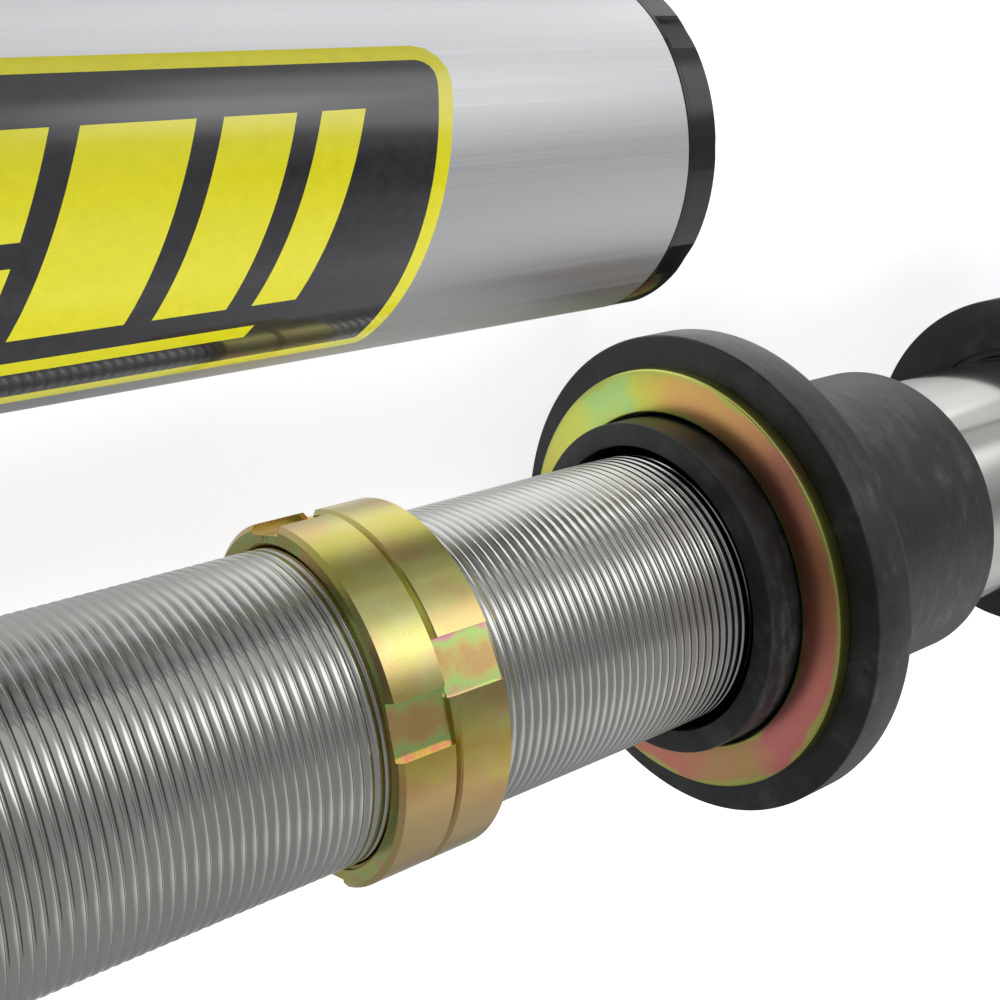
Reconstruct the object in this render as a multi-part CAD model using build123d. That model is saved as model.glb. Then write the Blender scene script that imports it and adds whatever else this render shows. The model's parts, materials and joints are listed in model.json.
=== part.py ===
"""Coilover shock with a piggyback reservoir, lying on its side, without its springs.

X runs from the upper eye to the lower eye, Y is the bolt axis of both eyes and Z is up.
The origin is the centre of the upper eye. All sizes are in millimetres.
"""

from build123d import *
from math import atan2, degrees, sqrt
import os

# Clearances
seat_gap = 0.05
running_gap = 0.05
slide_gap = 0.3
stop_gap = 0.3

# Cutters and joined forms
cut_over = 1.0
cutter_core = 1.0
joint_overlap = 2.0
rim_overlap = 0.5

# Small edges
lip_edge = 0.2
tube_edge = 0.3
rim_edge = 0.4
stem_edge = 0.5
seal_edge = 0.6
piston_edge = 0.8
gland_edge = 1.0
seat_edge = 1.5

# Body tube
body_radius = 38.1
body_bore_radius = 33.65
body_length = 570.0
body_end_chamfer = 1.0

# Top cap
head_thickness = 22.0
neck_length = 6.0
spigot_length = 26.0
web_height = 50.0
web_corner = 16.0
cap_edge = 1.5
well_radius = 14.0
well_floor = 8.0
gallery_radius = 4.0
plug_radius = 6.0
plug_depth = 9.0
plug_inset = 1.0
plug_key = 3.5

# Seals in grooves
seal_depth = 2.6
seal_width = 3.6

# Eyes and spherical bearings
eye_radius = 30.0
eye_width = 28.0
eye_edge = 1.5
race_radius = 22.225
race_width = 20.3
ball_radius = 19.05
ball_width = 25.4
ball_bore_radius = 12.7
bolt_radius = 9.6
spacer_neck_radius = 13.3
spacer_flange_radius = 17.0
spacer_cone_start = 15.5
spacer_cone_end = 18.5
spacer_stack_width = 50.8
clip_thickness = 1.6
clip_band = 3.0
clip_bite = 1.3
clip_opening = 9.0

# Reservoir
reservoir_radius = 38.1
reservoir_bore_radius = 34.9
reservoir_length = 273.3
reservoir_spacing = 121.9
reservoir_spigot_length = 20.0
end_cap_lip = 1.2
end_cap_rim = 7.2
end_cap_spigot = 16.0
scallop_count = 9
scallop_radius = 40.0
scallop_depth = 0.5
scallop_angle = 31.7
valve_pocket_radius = 15.0
valve_pocket_depth = 5.0
valve_stem_radius = 3.9
valve_stem_length = 16.0
valve_foot_radius = 7.0
valve_foot_length = 5.0
valve_core_radius = 1.8
valve_core_length = 10.0
valve_core_inset = 1.0
valve_cap_radius = 6.0
valve_cap_length = 12.0
valve_cap_wall = 1.6

# Seal head
seal_head_length = 44.0
seal_head_inset = 6.0
head_ring_thickness = 2.5
head_ring_band = 3.6
head_ring_bite = 1.4
bushing_wall = 2.0
bushing_length = 20.0
shaft_seal_depth = 4.0
shaft_seal_width = 7.0
wiper_depth = 4.5
wiper_width = 6.0
wiper_mouth = 1.0
spanner_hole_radius = 2.5
spanner_hole_depth = 5.0
spanner_hole_count = 4
spanner_hole_angle = 45.0

# Shaft and piston
shock_travel = 406.4
shaft_radius = 12.7
shaft_tip_radius = 8.0
shaft_tip_spare = 2.5
shaft_tip_chamfer = 1.0
shaft_shoulder_chamfer = 0.5
topout_length = 24.7
topout_radius = 22.0
backing_radius = 18.0
backing_thickness = 2.5
shim_thickness = 0.5
shim_radii = (25.0, 23.0, 20.5, 18.0, 15.5)
piston_length = 20.0
piston_side_gap = 0.6
band_length = 12.0
band_thickness = 1.6
band_split = 1.0
port_count = 6
port_radius = 2.8
port_feed_radius = 28.6
port_seat_radius = 20.3
nut_flats = 27.0
nut_length = 12.0

# Lower end
bump_clear = 0.6
bump_stop_length = 36.0
bump_stop_radius = 24.0
bump_waist = 3.0
boss_length = 26.0
boss_radius = 20.0
boss_shoulder_radius = 26.0
boss_shoulder_length = 12.0
shaft_thread_length = 24.0
perch_thickness = 10.0
perch_pilot_length = 14.0
perch_pilot_wall = 6.0
perch_hole_count = 8
perch_hole_radius = 5.0
perch_hole_circle = 31.5
perch_clip_thickness = 1.6
perch_clip_band = 2.6
perch_clip_bite = 1.2

# Springs seat on these radii
spring_seat_radius = 68.8
spring_pilot_radius = 47.0

# Preload nut
preload_place = 46.0
preload_grip_length = 22.0
preload_grip_radius = 57.0
preload_seat_length = 8.0
preload_pilot_length = 12.0
preload_notch_count = 8
preload_notch_width = 10.0
preload_notch_depth = 4.0
preload_notch_shift = 3.0
preload_split = 2.5
preload_split_reach = 35.0
pinch_screw_radius = 3.0
pinch_head_radius = 5.0
pinch_head_length = 6.0
pinch_screw_length = 30.0
pinch_screw_offset = 48.0
pinch_hole_length = 80.0
pinch_key_share = 0.9

# Stop rings
rings_place = 192.7
ring_width = 14.9
ring_radius = 43.65
ring_chamfer = 0.9
ring_mouth = 0.8
ring_notch_count = 4
ring_notch_width = 13.0
ring_notch_floor = 41.0
upper_ring_angle = 59.5
lower_ring_angle = 46.0

# Dual rate slider
slider_place = 302.3
collar_radius = 47.05
collar_length = 14.5
collar_edge = 0.5
slider_mouth_radius = 40.6
slider_mouth_depth = 22.0
slider_land = 14.0
slider_flange_thickness = 14.4
slider_flange_edge = 0.6
slider_flange_back = 2.0
slider_hub_radius = 45.4
slider_hub_length = 69.8
slider_hub_chamfer = 1.6
washer_thickness = 4.5
washer_radius = 60.1
washer_play = 1.0
washer_chamfer = 0.6

# Lower slider
lower_slider_place = 91.6
lower_flange_radius = 57.9
lower_flange_thickness = 12.6
lower_hub_length = 41.0
lower_mouth_depth = 1.5

# Floating piston
floating_place = 46.0
floating_length = 24.0
floating_skirt = 4.0
floating_crown = 7.0
floating_band_length = 8.0

# Stations along X
head_x = eye_radius + neck_length
tube_x = head_x + head_thickness
body_end_x = tube_x + body_length
seal_head_end_x = body_end_x - seal_head_inset
seal_head_x = seal_head_end_x - seal_head_length
shoulder_x = seal_head_x - stop_gap - topout_length
shim_stack = shim_thickness * len(shim_radii)
piston_end_x = shoulder_x - backing_thickness - shim_stack
piston_x = piston_end_x - piston_length
piston_nut_end_x = piston_x - shim_stack
piston_nut_x = piston_nut_end_x - nut_length
bump_x = body_end_x + shock_travel + bump_clear
boss_x = bump_x + bump_stop_length
lower_eye_x = boss_x + boss_length + eye_radius
perch_end_x = boss_x + boss_length - boss_shoulder_length
perch_x = perch_end_x - perch_thickness
reservoir_end_x = tube_x + reservoir_length

# The reservoir lies on the same floor as the spring seats
reservoir_z = reservoir_radius - spring_seat_radius
reservoir_y = sqrt(reservoir_spacing**2 - reservoir_z**2)
reservoir_angle = degrees(atan2(reservoir_z, reservoir_y))
reservoir_axis = Pos(0, reservoir_y, reservoir_z)


def turned(points):
    """A solid turned about X from its outline of (x, radius) points."""
    outline = [p for i, p in enumerate(points) if p != points[i - 1]]
    return revolve(make_face(Polyline(*outline, close=True)), Axis.X)


def sleeve(start, end, outer, inner=0.0, edge=0.0, mouth=0.0):
    """A ring or rod along X, with chamfers on its outer edges and on its bore."""
    return turned(
        [
            (start, inner + mouth),
            (start, outer - edge),
            (start + edge, outer),
            (end - edge, outer),
            (end, outer - edge),
            (end, inner + mouth),
            (end - mouth, inner),
            (start + mouth, inner),
        ]
    )


def groove(middle, width, outer, inner):
    """The ring of metal that a groove round X takes away."""
    return sleeve(middle - width / 2, middle + width / 2, outer, inner)


def seal_ring(middle, outer, inner):
    """A rubber ring that fills its groove up to the wall it seals against."""
    half = seal_width / 2 - seat_gap
    return sleeve(middle - half, middle + half, outer - seat_gap, inner + seat_gap, edge=seal_edge)


def round_x(angle, x, radius, shape):
    """A shape made at the origin, moved to a place round the X axis; angle 0 is towards +Y."""
    return Rot(angle, 0, 0) * Pos(x, radius, 0) * shape


def rod_y(radius, start, end):
    """A rod along Y."""
    return Pos(0, (start + end) / 2, 0) * Rot(90, 0, 0) * Cylinder(radius, end - start)


def ring_y(outer, inner, start, end):
    """A ring round the Y axis."""
    return rod_y(outer, start, end) - rod_y(inner, start - cut_over, end + cut_over)


def split_ring(ring, x, radius, opening):
    """Opens a ring round X at its top, as a snap ring is."""
    return ring - round_x(90, x, radius, Box(4 * clip_thickness, 4 * clip_band, opening))


def eye_clip(side):
    """One snap ring that holds a bearing race in its eye."""
    start = side * (race_width / 2 + seat_gap)
    end = start + side * clip_thickness
    outer = race_radius + clip_bite
    ring = ring_y(outer, outer - clip_band, min(start, end), max(start, end))
    opening = Pos(-outer, (start + end) / 2, 0) * Box(3 * clip_band, 3 * clip_thickness, clip_opening)
    return ring - opening


def eye_bore():
    """What a bearing race and its two snap rings take out of an eye."""
    bore = rod_y(race_radius + seat_gap, -eye_width, eye_width)
    for side in (-1, 1):
        start = side * race_width / 2
        end = start + side * (clip_thickness + 2 * seat_gap)
        outer = race_radius + clip_bite + seat_gap
        bore += rod_y(outer, min(start, end), max(start, end))
    return bore


def eye_blank():
    """The round part of an eye, with its edges broken."""
    blank = rod_y(eye_radius, -eye_width / 2, eye_width / 2)
    return chamfer(blank.edges().filter_by(GeomType.CIRCLE), eye_edge)


def bearing_race():
    """The outer race, with a spherical seat for the ball."""
    ring = ring_y(race_radius, ball_bore_radius, -race_width / 2, race_width / 2)
    return ring - Sphere(ball_radius + running_gap)


def bearing_ball():
    """The ball, cut flat on both sides and bored for the spacers."""
    ball = Sphere(ball_radius) & rod_y(ball_radius, -ball_width / 2, ball_width / 2)
    return ball - rod_y(ball_bore_radius, -ball_width, ball_width)


def bearing_spacer(side):
    """One misalignment spacer: a sleeve in the ball and a cone outside it."""
    sleeve_radius = ball_bore_radius - running_gap
    outline = Polyline(
        (bolt_radius, stop_gap / 2),
        (sleeve_radius, stop_gap / 2),
        (sleeve_radius, ball_width / 2 + running_gap),
        (spacer_neck_radius, ball_width / 2 + running_gap),
        (spacer_neck_radius, spacer_cone_start),
        (spacer_flange_radius, spacer_cone_end),
        (spacer_flange_radius, spacer_stack_width / 2),
        (bolt_radius, spacer_stack_width / 2),
        close=True,
    )
    spacer = revolve(make_face(outline), Axis.Y)
    return spacer if side > 0 else Rot(180, 0, 0) * spacer


def body_tube():
    """The threaded pressure tube, drawn at its crest size, with a snap ring groove at its open end."""
    tube = sleeve(tube_x, body_end_x, body_radius, body_bore_radius, edge=body_end_chamfer)
    ring_middle = seal_head_end_x + head_ring_thickness / 2
    ring_outer = body_bore_radius + head_ring_bite + seat_gap
    return tube - groove(ring_middle, head_ring_thickness + 2 * seat_gap, ring_outer, cutter_core)


def bridge_plate():
    """The plate that joins the head of the body to the head of the reservoir."""
    web = Pos(reservoir_spacing / 2, 0) * Rectangle(reservoir_spacing, web_height)
    web = Rot(0, 0, reservoir_angle) * web
    far_end = Pos(reservoir_y, reservoir_z) * Circle(reservoir_radius)
    outline = Circle(body_radius) + web + far_end
    outline = fillet(outline.vertices(), web_corner)
    plate = extrude(Plane.YZ * outline, head_thickness)
    plate = chamfer(plate.edges().group_by(Axis.X)[0], cap_edge)
    return Pos(head_x, 0, 0) * plate


def top_cap():
    """The machined head: upper eye, neck, bridge and both spigots, with the oil gallery drilled in it."""
    eye_side = eye_radius - eye_edge
    neck_end = head_x + cap_edge
    head_side = body_radius - 3 * cap_edge
    flare = Polyline(
        (0, eye_side), (neck_end, head_side), (neck_end, -head_side), (0, -eye_side), close=True
    )
    neck = extrude(Plane.XZ * make_face(flare), eye_width / 2 - eye_edge, both=True)
    cap = eye_blank() + neck + bridge_plate()
    cap += sleeve(tube_x, tube_x + spigot_length, body_bore_radius - seat_gap, edge=cap_edge)
    cap += reservoir_axis * sleeve(
        tube_x, tube_x + reservoir_spigot_length, reservoir_bore_radius - seat_gap, edge=cap_edge
    )
    cap -= groove(
        tube_x + spigot_length / 2,
        seal_width,
        body_bore_radius + cut_over,
        body_bore_radius - seal_depth,
    )
    cap -= reservoir_axis * groove(
        tube_x + reservoir_spigot_length / 2,
        seal_width,
        reservoir_bore_radius + cut_over,
        reservoir_bore_radius - seal_depth,
    )
    cap -= sleeve(head_x + well_floor, tube_x + spigot_length + cut_over, well_radius)
    cap -= reservoir_axis * sleeve(
        head_x + well_floor, tube_x + reservoir_spigot_length + cut_over, well_radius
    )
    gallery_x = head_x + head_thickness / 2 + well_floor / 2
    plug_face = reservoir_spacing + reservoir_radius
    gallery = Rot(90, 0, 0) * Cylinder(gallery_radius, plug_face)
    plug_seat = Rot(90, 0, 0) * Cylinder(plug_radius, 2 * (plug_depth + plug_inset))
    cap -= round_x(reservoir_angle, gallery_x, plug_face / 2, gallery)
    cap -= round_x(reservoir_angle, gallery_x, plug_face, plug_seat)
    return cap - eye_bore()


def port_plug():
    """The plug that closes the drilled end of the oil gallery, with a hexagon socket."""
    gallery_x = head_x + head_thickness / 2 + well_floor / 2
    plug = Cylinder(plug_radius - seat_gap, plug_depth)
    plug -= Pos(0, 0, plug_depth / 2) * extrude(RegularPolygon(plug_key, 6), plug_depth / 2, both=True)
    middle = reservoir_spacing + reservoir_radius - plug_inset - plug_depth / 2
    return round_x(reservoir_angle, gallery_x, middle, Rot(-90, 0, 0) * plug)


def reservoir_end_cap():
    """The screwed cap of the reservoir: lip, scalloped rim, spigot and a pocket for the gas valve."""
    lip_x = reservoir_end_x + end_cap_lip
    face_x = lip_x + end_cap_rim
    rim = sleeve(lip_x - rim_overlap, face_x, reservoir_radius, edge=rim_edge)
    for i in range(scallop_count):
        angle = scallop_angle + i * 360 / scallop_count
        centre = reservoir_radius + scallop_radius - scallop_depth
        cutter = Rot(0, 90, 0) * Cylinder(scallop_radius, 2 * end_cap_rim)
        rim -= round_x(angle, lip_x + end_cap_rim, centre, cutter)
    cap = rim + sleeve(reservoir_end_x, lip_x, reservoir_radius, edge=lip_edge)
    spigot = reservoir_bore_radius - seat_gap
    cap += sleeve(reservoir_end_x - end_cap_spigot, reservoir_end_x, spigot)
    cap -= groove(
        reservoir_end_x - end_cap_spigot / 2,
        seal_width,
        spigot + cut_over,
        reservoir_bore_radius - seal_depth,
    )
    cap -= sleeve(face_x - valve_pocket_depth, face_x + cut_over, valve_pocket_radius)
    cap -= sleeve(reservoir_end_x - end_cap_spigot - cut_over, face_x, valve_stem_radius + seat_gap)
    return reservoir_axis * cap


def gas_valve():
    """The stem of the gas valve: a foot inside the cap and a hollow stem that stands out of the pocket."""
    pocket_x = reservoir_end_x + end_cap_lip + end_cap_rim - valve_pocket_depth
    foot_x = pocket_x + valve_foot_length
    bottom_x = reservoir_end_x - end_cap_spigot
    stem = sleeve(bottom_x, foot_x + valve_stem_length, valve_stem_radius, edge=stem_edge)
    stem += sleeve(pocket_x, foot_x, valve_foot_radius, edge=stem_edge)
    tip_x = foot_x + valve_stem_length
    stem -= sleeve(bottom_x - cut_over, tip_x + cut_over, valve_core_radius + seat_gap)
    return reservoir_axis * stem


def valve_tip_x():
    """The outer end of the gas valve's stem."""
    pocket_x = reservoir_end_x + end_cap_lip + end_cap_rim - valve_pocket_depth
    return pocket_x + valve_foot_length + valve_stem_length


def gas_valve_core():
    """The core screwed into the stem."""
    end = valve_tip_x() - valve_core_inset
    return reservoir_axis * sleeve(end - valve_core_length, end, valve_core_radius, edge=rim_edge)


def gas_valve_cap():
    """The dust cap over the stem."""
    end = valve_tip_x() + valve_cap_wall
    start = end - valve_cap_length
    cap = sleeve(start, end, valve_cap_radius, edge=piston_edge)
    cap -= sleeve(start - cut_over, end - valve_cap_wall, valve_stem_radius + seat_gap)
    return reservoir_axis * cap


def seal_head():
    """The gland at the open end, with pockets for bushing, shaft seal and wiper."""
    outer = body_bore_radius - seat_gap
    bushing_seat = shaft_radius + running_gap + bushing_wall + seat_gap
    middle_x = seal_head_x + seal_head_length / 2
    head = sleeve(seal_head_x, seal_head_end_x, outer, shaft_radius + slide_gap, edge=gland_edge)
    head -= groove(middle_x, seal_width, outer + cut_over, body_bore_radius - seal_depth)
    head -= sleeve(seal_head_x - cut_over, seal_head_x + bushing_length, bushing_seat)
    head -= groove(shaft_seal_x(), shaft_seal_width, shaft_radius + shaft_seal_depth, cutter_core)
    wiper_x = seal_head_end_x - wiper_width
    head -= sleeve(wiper_x, seal_head_end_x + cut_over, shaft_radius + wiper_depth)
    for i in range(spanner_hole_count):
        hole = Rot(0, 90, 0) * Cylinder(spanner_hole_radius, 2 * spanner_hole_depth)
        middle = (body_bore_radius + shaft_radius + wiper_depth) / 2
        head -= round_x(spanner_hole_angle + i * 360 / spanner_hole_count, seal_head_end_x, middle, hole)
    return head


def shaft_seal_x():
    """The middle of the shaft seal, halfway between bushing and wiper."""
    return (seal_head_x + bushing_length + seal_head_end_x - wiper_width) / 2


def seal_head_ring():
    """The snap ring that keeps the gland in the tube."""
    outer = body_bore_radius + head_ring_bite
    ring = sleeve(seal_head_end_x, seal_head_end_x + head_ring_thickness, outer, outer - head_ring_band)
    return split_ring(ring, seal_head_end_x, outer, clip_opening)


def shaft():
    """The polished shaft, stepped down where it carries the piston."""
    tip_x = piston_nut_x - shaft_tip_spare
    return turned(
        [
            (tip_x, 0),
            (tip_x, shaft_tip_radius - shaft_tip_chamfer),
            (tip_x + shaft_tip_chamfer, shaft_tip_radius),
            (shoulder_x, shaft_tip_radius),
            (shoulder_x, shaft_radius - shaft_shoulder_chamfer),
            (shoulder_x + shaft_shoulder_chamfer, shaft_radius),
            (boss_x + shaft_thread_length, shaft_radius),
            (boss_x + shaft_thread_length, 0),
        ]
    )


def piston():
    """The piston: angled oil ports both ways and a groove for its wear band."""
    radius = body_bore_radius - piston_side_gap
    disc = sleeve(piston_x, piston_end_x, radius, shaft_tip_radius + seat_gap, edge=piston_edge)
    middle = (piston_x + piston_end_x) / 2
    band_seat = body_bore_radius - running_gap - band_thickness
    disc -= groove(middle, band_length, radius + cut_over, band_seat)
    lean = degrees(atan2(port_feed_radius - port_seat_radius, piston_length))
    middle_radius = (port_feed_radius + port_seat_radius) / 2
    for i in range(2 * port_count):
        side = 1 if i % 2 else -1
        port = Rot(0, 0, side * lean) * Rot(0, 90, 0) * Cylinder(port_radius, 2 * piston_length)
        disc -= round_x(i * 180 / port_count, middle, middle_radius, port)
    return disc


def wear_band(middle, length, bore):
    """A split plastic band in a piston's groove, running in the bore."""
    outer = bore - running_gap
    half = length / 2 - seat_gap
    band = sleeve(middle - half, middle + half, outer, outer - band_thickness + seat_gap)
    return band - round_x(90, middle, outer, Box(2 * length, 4 * band_thickness, band_split))


def shims(face_x, direction):
    """A stack of valve discs that gets smaller away from the piston's face."""
    stack = []
    for i, radius in enumerate(shim_radii):
        start = face_x + direction * i * shim_thickness
        end = start + direction * shim_thickness
        stack.append(sleeve(min(start, end), max(start, end), radius, shaft_tip_radius + seat_gap))
    return Compound(children=stack)


def piston_nut():
    """The hexagon nut that clamps the piston stack."""
    hexagon = Plane.YZ * RegularPolygon(nut_flats / 2, 6, major_radius=False)
    nut = Pos(piston_nut_x, 0, 0) * extrude(hexagon, nut_length)
    bore = shaft_tip_radius + seat_gap
    return nut - sleeve(piston_nut_x - cut_over, piston_nut_end_x + cut_over, bore)


def bump_stop():
    """The rubber stop on the shaft, with a waist that lets it fold."""
    inner = shaft_radius + seat_gap
    middle = (bump_x + boss_x) / 2
    return turned(
        [
            (bump_x, inner),
            (bump_x, bump_stop_radius - 2 * bump_waist),
            (bump_x + bump_waist, bump_stop_radius - bump_waist),
            (middle - 2 * bump_waist, bump_stop_radius),
            (middle, bump_stop_radius - bump_waist),
            (middle + 2 * bump_waist, bump_stop_radius),
            (boss_x, bump_stop_radius),
            (boss_x, inner),
        ]
    )


def lower_eye():
    """The lower mount: a boss that takes the shaft and carries the perch, and the eye."""
    boss = sleeve(boss_x, boss_x + boss_length, boss_radius, edge=gland_edge)
    boss += sleeve(perch_end_x, lower_eye_x - eye_radius / 2, boss_shoulder_radius, edge=seat_edge)
    eye = boss + Pos(lower_eye_x, 0, 0) * eye_blank()
    clip_room = perch_clip_thickness + 2 * seat_gap
    eye -= groove(clip_middle(), clip_room, boss_radius + cut_over, boss_radius - perch_clip_bite)
    eye -= sleeve(boss_x - cut_over, boss_x + shaft_thread_length, shaft_radius + seat_gap)
    return eye - Pos(lower_eye_x, 0, 0) * eye_bore()


def clip_middle():
    """The middle of the snap ring in front of the lower perch."""
    return perch_x - seat_gap - perch_clip_thickness / 2


def lower_perch():
    """The dished seat for the foot of the lower spring."""
    pilot_inner = spring_pilot_radius - perch_pilot_wall
    pilot_x = perch_x - perch_pilot_length
    plate = sleeve(perch_x, perch_end_x, spring_seat_radius, boss_radius + seat_gap, edge=seat_edge)
    plate += sleeve(
        pilot_x, perch_x + joint_overlap, spring_pilot_radius, pilot_inner, edge=seat_edge
    )
    for i in range(perch_hole_count):
        hole = Rot(0, 90, 0) * Cylinder(perch_hole_radius, 3 * perch_thickness)
        plate -= round_x(i * 360 / perch_hole_count, perch_x, perch_hole_circle, hole)
    return plate


def perch_clip():
    """The snap ring that keeps the perch on the boss."""
    inner = boss_radius - perch_clip_bite + seat_gap
    half = perch_clip_thickness / 2
    ring = sleeve(clip_middle() - half, clip_middle() + half, inner + perch_clip_band, inner)
    return split_ring(ring, clip_middle(), inner, clip_opening)


def pinch_frame(shape):
    """Moves a shape from its own X axis to the line of the pinch screw."""
    grip_middle = tube_x + preload_place + preload_grip_length / 2
    return Pos(grip_middle, 0, pinch_screw_offset) * Rot(0, 0, 90) * shape


def preload_nut():
    """The split nut that sets the preload, with spanner notches, spring seat and pilot."""
    bore = body_radius + slide_gap
    grip_x = tube_x + preload_place
    seat_x = grip_x + preload_grip_length
    pilot_x = seat_x + preload_seat_length
    pilot_end_x = pilot_x + preload_pilot_length
    nut = sleeve(grip_x, seat_x + joint_overlap, preload_grip_radius, bore, edge=seat_edge)
    nut += sleeve(seat_x, pilot_x, spring_seat_radius, bore, edge=seat_edge)
    nut += sleeve(pilot_x - joint_overlap, pilot_end_x, spring_pilot_radius, bore, edge=seat_edge)
    for i in range(preload_notch_count):
        angle = (i + 0.5) * 360 / preload_notch_count
        notch = Box(preload_grip_length, 2 * preload_notch_depth, preload_notch_width)
        notch_x = grip_x + preload_grip_length / 2 - preload_notch_shift
        nut -= round_x(angle, notch_x, preload_grip_radius, notch)
    split = Box(4 * preload_grip_length, 2 * preload_split_reach, preload_split)
    nut -= round_x(90, seat_x, spring_seat_radius, split)
    hole_end = pinch_hole_length / 2
    nut -= pinch_frame(sleeve(-hole_end, hole_end, pinch_screw_radius + seat_gap))
    nut -= pinch_frame(sleeve(-hole_end, -pinch_screw_length / 2, pinch_head_radius + seat_gap))
    return nut


def pinch_screw():
    """The socket screw that closes the preload nut on the thread."""
    half = pinch_screw_length / 2
    screw = sleeve(-half, half, pinch_screw_radius)
    head = sleeve(-half - pinch_head_length, -half, pinch_head_radius, edge=stem_edge)
    hexagon = RegularPolygon(pinch_screw_radius * pinch_key_share, 6)
    key = extrude(Plane.YZ * hexagon, pinch_head_length / 2)
    head -= Pos(-half - pinch_head_length, 0, 0) * key
    return pinch_frame(screw + head)


def stop_ring(start, first_angle):
    """One stop ring, with flat spanner notches across its full width."""
    end = start + ring_width
    ring = sleeve(start, end, ring_radius, body_radius + slide_gap, edge=ring_chamfer, mouth=ring_mouth)
    for i in range(ring_notch_count):
        notch = Pos(0, ring_radius, 0) * Box(2 * ring_width, 2 * ring_radius, ring_notch_width)
        angle = first_angle + i * 360 / ring_notch_count
        ring -= round_x(angle, start + ring_width / 2, ring_notch_floor, notch)
    return ring


def slider():
    """The dual rate slider: collar, flange and hub in one moulding, guided on two lands."""
    collar_x = tube_x + slider_place
    flange_x = collar_x + collar_length
    hub_x = flange_x + slider_flange_thickness
    end_x = hub_x + slider_hub_length
    land = body_radius + slide_gap
    relief = slider_mouth_radius
    return turned(
        [
            (collar_x, relief),
            (collar_x, collar_radius - collar_edge),
            (collar_x + collar_edge, collar_radius),
            (flange_x, collar_radius),
            (flange_x, spring_seat_radius - slider_flange_edge),
            (flange_x + slider_flange_edge, spring_seat_radius),
            (hub_x - slider_flange_back, spring_seat_radius),
            (hub_x, spring_seat_radius - slider_flange_back),
            (hub_x, slider_hub_radius),
            (end_x - slider_hub_chamfer, slider_hub_radius),
            (end_x, slider_hub_radius - slider_hub_chamfer),
            (end_x, land + slider_hub_chamfer),
            (end_x - slider_hub_chamfer, land),
            (end_x - slider_land, land),
            (end_x - slider_land, relief),
            (collar_x + slider_mouth_depth + slider_land, relief),
            (collar_x + slider_mouth_depth + slider_land, land),
            (collar_x + slider_mouth_depth, land),
            (collar_x + slider_mouth_depth, relief),
        ]
    )


def slider_washer():
    """The steel washer that the upper spring bears on, lying on the slider's flange."""
    end = tube_x + slider_place + collar_length
    inner = collar_radius + washer_play
    start = end - washer_thickness
    return sleeve(start, end, washer_radius, inner, edge=washer_chamfer, mouth=washer_chamfer)


def lower_slider():
    """The smaller slider on the smooth end of the tube."""
    start = body_end_x - lower_slider_place
    hub_x = start + lower_flange_thickness
    end = hub_x + lower_hub_length
    land = body_radius + slide_gap
    return turned(
        [
            (start, slider_mouth_radius),
            (start, lower_flange_radius - slider_flange_edge),
            (start + slider_flange_edge, lower_flange_radius),
            (hub_x - slider_flange_back, lower_flange_radius),
            (hub_x, lower_flange_radius - slider_flange_back),
            (hub_x, spring_pilot_radius),
            (end - slider_hub_chamfer, spring_pilot_radius),
            (end, spring_pilot_radius - slider_hub_chamfer),
            (end, land),
            (start + lower_mouth_depth, land),
            (start + lower_mouth_depth, slider_mouth_radius),
        ]
    )


def floating_middle():
    """The middle of the floating piston."""
    return tube_x + floating_place + floating_length / 2


def floating_piston():
    """The cup that keeps gas and oil apart, with grooves for its seal and its wear band."""
    start = tube_x + floating_place
    end = start + floating_length
    radius = reservoir_bore_radius - piston_side_gap
    cup = sleeve(start, end, radius, edge=piston_edge)
    skirt_inner = radius - piston_side_gap - seal_depth - floating_skirt
    cup -= sleeve(start + floating_crown, end + cut_over, skirt_inner)
    running_radius = reservoir_bore_radius - running_gap
    cup -= groove(floating_seal_x(), seal_width, radius + cut_over, running_radius - seal_depth)
    band_seat = running_radius - band_thickness
    cup -= groove(floating_band_x(), floating_band_length, radius + cut_over, band_seat)
    return reservoir_axis * cup


def floating_seal_x():
    """The middle of the floating piston's seal."""
    return floating_middle() - floating_length / 4


def floating_band_x():
    """The middle of the floating piston's wear band."""
    return floating_middle() + floating_length / 5


def write(node, shape):
    """Writes one sub-part to its own file."""
    export_step(shape, f"parts/{node}.step")


os.makedirs("parts", exist_ok=True)

# Body, head and reservoir
write("body_tube", body_tube())
write("top_cap", top_cap())
write(
    "top_cap_seal",
    seal_ring(tube_x + spigot_length / 2, body_bore_radius, body_bore_radius - seal_depth),
)
write("port_plug", port_plug())
write(
    "reservoir_tube",
    reservoir_axis
    * sleeve(tube_x, reservoir_end_x, reservoir_radius, reservoir_bore_radius, edge=tube_edge),
)
write(
    "reservoir_head_seal",
    reservoir_axis
    * seal_ring(
        tube_x + reservoir_spigot_length / 2, reservoir_bore_radius, reservoir_bore_radius - seal_depth
    ),
)
write("reservoir_end_cap", reservoir_end_cap())
write(
    "reservoir_cap_seal",
    reservoir_axis
    * seal_ring(
        reservoir_end_x - end_cap_spigot / 2, reservoir_bore_radius, reservoir_bore_radius - seal_depth
    ),
)
write("gas_valve", gas_valve())
write("gas_valve_core", gas_valve_core())
write("gas_valve_cap", gas_valve_cap())

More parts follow.
